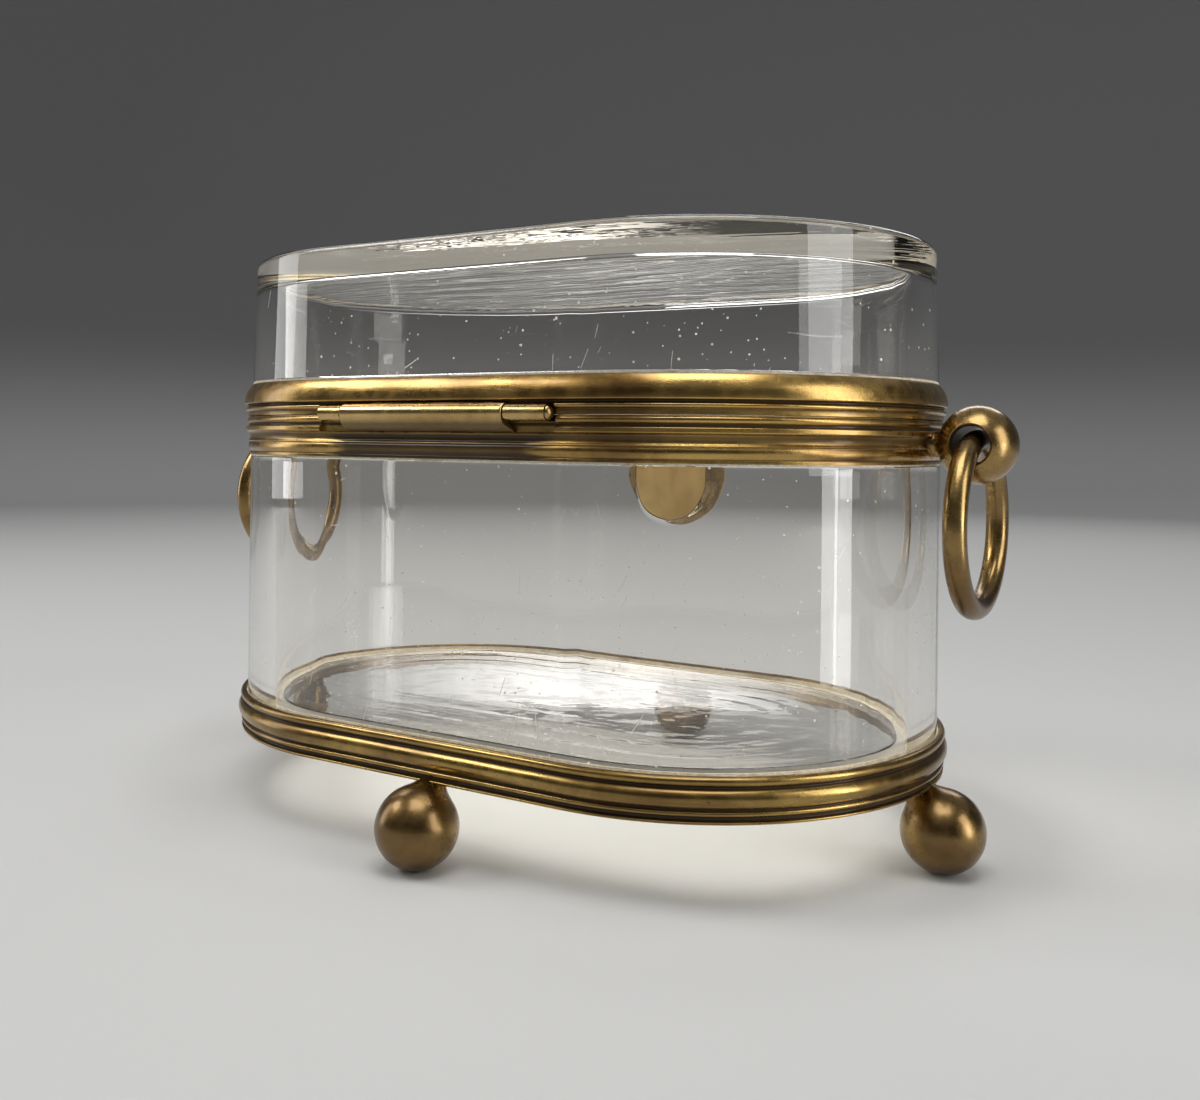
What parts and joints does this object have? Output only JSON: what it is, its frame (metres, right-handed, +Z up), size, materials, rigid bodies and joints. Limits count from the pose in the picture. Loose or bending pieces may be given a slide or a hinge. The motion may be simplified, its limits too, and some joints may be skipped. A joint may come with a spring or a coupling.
{
  "type": "jewelry box",
  "caption": "Oval crystal jewelry box in gilt brass mounts, with a hinged lid, a lock, ring handles on drilled balls and ball feet.",
  "frame": {"origin": "centre of the box in plan, on the plane that the four ball feet stand on", "axes": "+X along the long axis towards the right-hand ring, +Y towards the hinge at the back, +Z up; the lock faces -Y"},
  "size_m": [0.1654, 0.1046, 0.1027],
  "materials": {
    "brass": "aged gilt brass, satin, with brown tarnish in the grooves",
    "crystal": "clear polished crystal with light wear",
    "cement": "matt cream bedding cement"
  },
  "bodies": {
    "case": {"base_frame": "brass", "base_glass": "crystal", "base_bedding": "cement", "body_glass": "crystal", "body_bedding": "cement", "body_collar": "brass", "hinge_body_leaf": "brass", "hinge_pin": "brass", "foot_front": "brass", "foot_back": "brass", "foot_left": "brass", "foot_right": "brass", "handle_knob_left": "brass", "handle_knob_right": "brass", "lock_case": "brass", "lock_plate": "brass"},
    "lid": {"lid_collar": "brass", "lid_bedding": "cement", "lid_glass": "crystal", "hinge_lid_leaf": "brass", "lid_catch": "brass"},
    "ring_left": {"ring_left": "brass"},
    "ring_right": {"ring_right": "brass"}
  },
  "joints": [
    {"name": "lid_hinge", "type": "hinge", "parent": "case", "child": "lid", "pos_m": [0, 0.0439, 0.0733], "axis": [-1, 0, 0], "range_deg": [0, 100]},
    {"name": "ring_right_swing", "type": "hinge", "parent": "case", "child": "ring_right", "pos_m": [0.0764, 0, 0.06915], "axis": [0, -1, 0], "range_deg": [-12, 190]},
    {"name": "ring_left_swing", "type": "hinge", "parent": "case", "child": "ring_left", "pos_m": [-0.0764, 0, 0.06915], "axis": [0, 1, 0], "range_deg": [-12, 190]}
  ]
}
